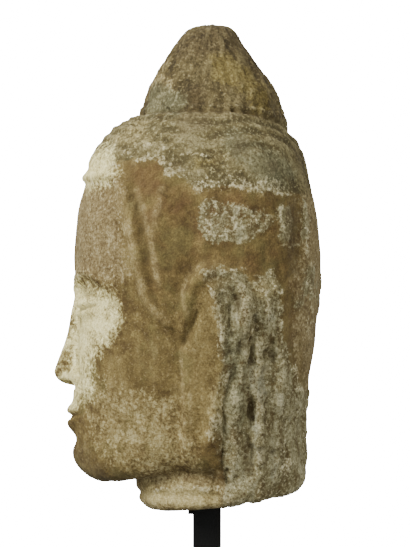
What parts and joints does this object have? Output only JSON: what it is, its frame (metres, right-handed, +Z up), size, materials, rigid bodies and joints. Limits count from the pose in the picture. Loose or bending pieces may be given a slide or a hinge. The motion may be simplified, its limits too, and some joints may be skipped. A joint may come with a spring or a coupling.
{
  "type": "stone buddha head",
  "caption": "Weathered stone Buddha head with a tall rounded topknot, long ears and a broken neck, held up by a square rod in a plain black block.",
  "frame": {"origin": "middle of the base block's underside, on the axis of the square rod", "axes": "+Z up along the rod; the face looks along -Y and the figure's own left side is at +X"},
  "size_m": [0.1881, 0.1887, 0.4841],
  "materials": {
    "sandstone": "weathered brown sandstone with pale crusts",
    "black_steel": "matt black paint",
    "black_wood": "satin black paint"
  },
  "bodies": {
    "root": {"stone_head": "sandstone", "support_rod": "black_steel", "base_block": "black_wood"}
  },
  "joints": []
}
